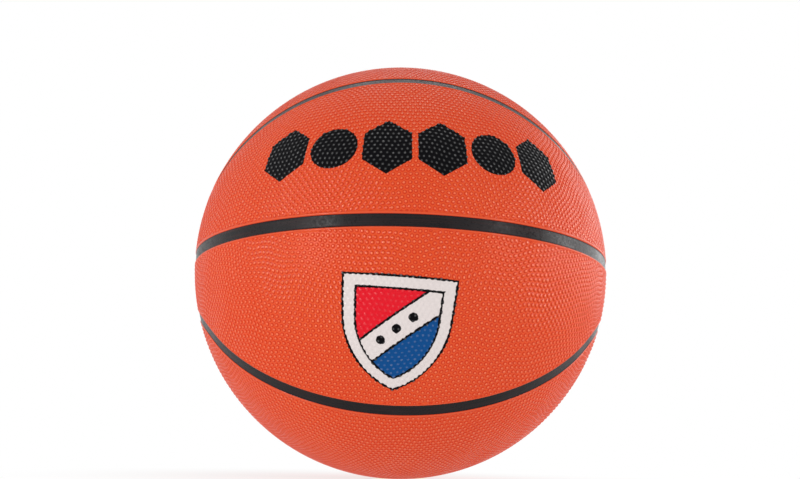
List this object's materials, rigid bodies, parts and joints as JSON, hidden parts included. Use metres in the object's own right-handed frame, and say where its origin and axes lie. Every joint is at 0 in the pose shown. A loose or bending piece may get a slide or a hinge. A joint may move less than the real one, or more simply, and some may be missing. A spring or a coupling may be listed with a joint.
{
  "type": "basketball",
  "caption": "Inflatable rubber basketball with pebbled cover panels, black channel strips, inner carcass, thread winding, bladder and needle valve.",
  "frame": {"origin": "centre of the ball", "axes": "+Z through the middle of the top oval, so that the equator seam lies in XY; the meridian seam lies in XZ; -Y is the printed front and +Y the back, which has the valve"},
  "size_m": [0.2416, 0.2418, 0.2418],
  "materials": {
    "cover_rubber": "satin",
    "strip_rubber": "satin",
    "butyl_rubber": "matte",
    "valve_rubber": "matte",
    "nylon_thread": "satin",
    "carcass_rubber": "matte"
  },
  "bodies": {
    "root": {"bladder": "butyl_rubber", "valve_patch": "butyl_rubber", "valve_housing": "butyl_rubber", "valve_plug": "valve_rubber", "nylon_winding": "nylon_thread", "carcass": "carcass_rubber", "valve_eyelet": "strip_rubber", "front_upper_panel": "cover_rubber", "front_lower_panel": "cover_rubber", "back_upper_panel": "cover_rubber", "back_lower_panel": "cover_rubber", "front_top_oval_panel": "cover_rubber", "front_bottom_oval_panel": "cover_rubber", "back_top_oval_panel": "cover_rubber", "back_bottom_oval_panel": "cover_rubber", "equator_strip": "strip_rubber", "upper_meridian_strip": "strip_rubber", "lower_meridian_strip": "strip_rubber", "front_top_oval_strip": "strip_rubber", "back_top_oval_strip": "strip_rubber", "front_bottom_oval_strip": "strip_rubber", "back_bottom_oval_strip": "strip_rubber"}
  },
  "joints": []
}
